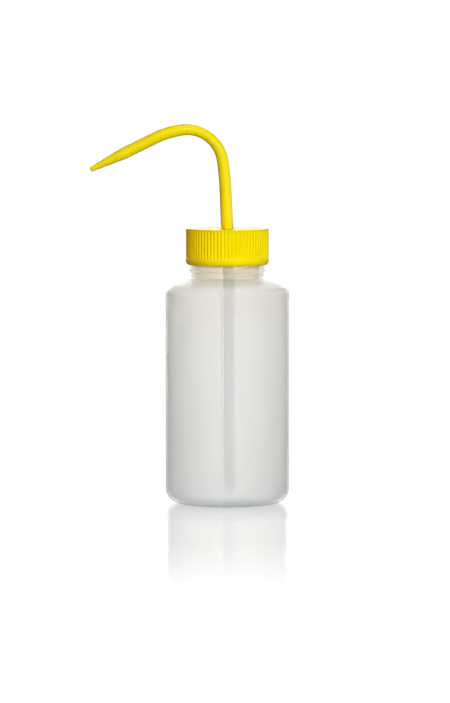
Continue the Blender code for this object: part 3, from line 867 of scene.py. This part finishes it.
def build_spout():
    length = sum(run for run, bend in SPOUT_RUNS)
    crown = sum(run for run, bend in SPOUT_RUNS[:RUNS_BELOW_CROWN])

    def outer_radius(distance):
        radius = between(distance, SPIGOT_LENGTH, crown, SPOUT_FOOT_RADIUS, SPOUT_ARM_RADIUS)
        turn = between(distance, crown, crown + CROWN_NARROWING_LENGTH, 0.0, math.pi)
        taper = between(distance, length - JET_LENGTH, length, 0.0, SPOUT_ARM_RADIUS - SPOUT_TIP_RADIUS)
        return radius - CROWN_NARROWING * math.sin(turn) ** 2 - taper

    def bore_radius(distance):
        return between(distance, length - JET_LENGTH, length, SPOUT_BORE, JET_BORE)

    rows = math.ceil(length / SPOUT_STRIDE)
    distances = [between(i, 0, rows, 0.0, length - SPOUT_TIP_ROUNDING) for i in range(rows + 1)]
    outside = [(*spout_point(d), outer_radius(d), True) for d in distances]
    tip = []
    for reach, advance in arc((0.0, 0.0), SPOUT_TIP_ROUNDING, ARC_STEP * 2, math.pi / 2):
        distance = length - SPOUT_TIP_ROUNDING + advance
        tip.append((*spout_point(distance), SPOUT_TIP_RADIUS - SPOUT_TIP_ROUNDING + reach, True))
    inside = [(*spout_point(d), bore_radius(d), False) for d in [length] + distances[::-1]]
    spout = sweep("curved_spout", outside + tip + inside, flute_relief)
    fit_to_node(spout, "spout")
    adopt(spout, "spout", "spout", yellow_spout())


# ------------------------------------------------------------------------------------------- studio


def build_floor():
    """A white glossy floor that shows a short reflection of the foot and fades into the backdrop."""
    shape = bmesh.new()
    bmesh.ops.create_grid(shape, x_segments=FLOOR_CELLS, y_segments=FLOOR_CELLS, size=FLOOR_HALF_WIDTH)
    floor = link("floor", shape)
    material = bpy.data.materials.new("white_table")
    material.use_nodes = True
    tree = material.node_tree
    tree.nodes.clear()
    place = add_node(tree, "ShaderNodeTexCoord").outputs["Object"]
    distance = add_node(tree, "ShaderNodeVectorMath", {0: place}, operation="LENGTH").outputs["Value"]
    fade = ranged(tree, distance, (REFLECTION_FULL, REFLECTION_GONE), 1.0, 0.0)
    gloss = add_node(tree, "ShaderNodeFresnel").outputs[0]
    share = add_node(tree, "ShaderNodeMath", {0: fade, 1: gloss}, operation="MULTIPLY").outputs[0]
    glow = add_node(tree, "ShaderNodeEmission", {"Strength": WHITE_GLOW}).outputs[0]
    mirror = add_node(tree, "ShaderNodeBsdfGlossy", {"Color": WHITE, "Roughness": FLOOR_ROUGHNESS})
    polished = add_node(tree, "ShaderNodeMixShader", {0: share, 1: glow, 2: mirror.outputs[0]}).outputs[0]
    matt = add_node(tree, "ShaderNodeBsdfDiffuse", {"Color": rgba(*[FLOOR_GREY] * 3)}).outputs[0]
    direct = add_node(tree, "ShaderNodeLightPath").outputs["Is Camera Ray"]
    seen = add_node(tree, "ShaderNodeMixShader", {0: direct, 1: matt, 2: polished}).outputs[0]
    add_node(tree, "ShaderNodeOutputMaterial", {"Surface": seen})
    floor.data.materials.append(material)


def build_backdrop():
    """A white surround for the eye, and near the horizon for reflections; dim as a light."""
    world = bpy.data.worlds.new("studio")
    bpy.context.scene.world = world
    world.use_nodes = True
    tree = world.node_tree
    path = add_node(tree, "ShaderNodeLightPath").outputs
    direction = add_node(tree, "ShaderNodeTexCoord").outputs["Generated"]
    rise = add_node(tree, "ShaderNodeSeparateXYZ", {0: direction}).outputs["Z"]
    horizon = ranged(tree, rise, (HORIZON_FULL, HORIZON_GONE), 1.0, 0.0, "LINEAR")
    inputs = {0: horizon, 1: path["Is Glossy Ray"]}
    reflected = add_node(tree, "ShaderNodeMath", inputs, operation="MULTIPLY").outputs[0]
    inputs = {0: path["Is Camera Ray"], 1: reflected}
    either = add_node(tree, "ShaderNodeMath", inputs, operation="MAXIMUM").outputs[0]
    backdrop = tree.nodes["Background"]
    plug(tree, backdrop.inputs["Color"], WHITE)
    plug(tree, backdrop.inputs["Strength"], ranged(tree, either, (0.0, 1.0), ROOM_GLOW, WHITE_GLOW, "LINEAR"))


def softbox(name, azimuth, elevation, distance, width, height, power, roll):
    """A rectangular light aimed at the middle of the bottle."""
    light = bpy.data.lights.new(name, "AREA")
    light.shape = "RECTANGLE"
    light.size = width
    light.size_y = height
    light.energy = power
    lamp = bpy.data.objects.new(name, light)
    bpy.context.scene.collection.objects.link(lamp)
    a, e = math.radians(azimuth), math.radians(elevation)
    away = Vector((math.sin(a) * math.cos(e), -math.cos(a) * math.cos(e), math.sin(e)))
    lamp.location = Vector((0.0, 0.0, (CAD_LOW.z + CAD_HIGH.z) / 2)) + away * distance
    turn = away.to_track_quat("Z", "Y") @ Quaternion((0.0, 0.0, 1.0), math.radians(roll))
    lamp.rotation_euler = turn.to_euler()
    lamp.visible_camera = False
    lamp.visible_glossy = name not in UNREFLECTED_LIGHTS
    return lamp


def build_camera():
    camera = bpy.data.cameras.new("camera")
    camera.lens = CAMERA_LENS
    holder = bpy.data.objects.new("camera", camera)
    bpy.context.scene.collection.objects.link(holder)
    holder.location = CAMERA_PLACE
    holder.rotation_euler = (math.pi / 2 - CAMERA_PITCH, 0.0, 0.0)
    bpy.context.scene.camera = holder


def build_studio():
    build_floor()
    build_backdrop()
    lamps = {name: softbox(name, *values) for name, values in LIGHTS.items()}
    lamps["warm"].data.color = WARM_COLOUR
    for group, (pieces, lights) in LIT_GROUPS.items():
        lit = bpy.data.collections.new(group)
        for name in pieces:
            lit.objects.link(bpy.data.objects[name])
        for name in lights:
            lamps[name].light_linking.receiver_collection = lit
    build_camera()
    bpy.context.scene.view_settings.view_transform = "Standard"


build_bottle()
build_cap()
build_insert()
build_sealing_ring()
build_dip_tube()
build_spout()
build_studio()
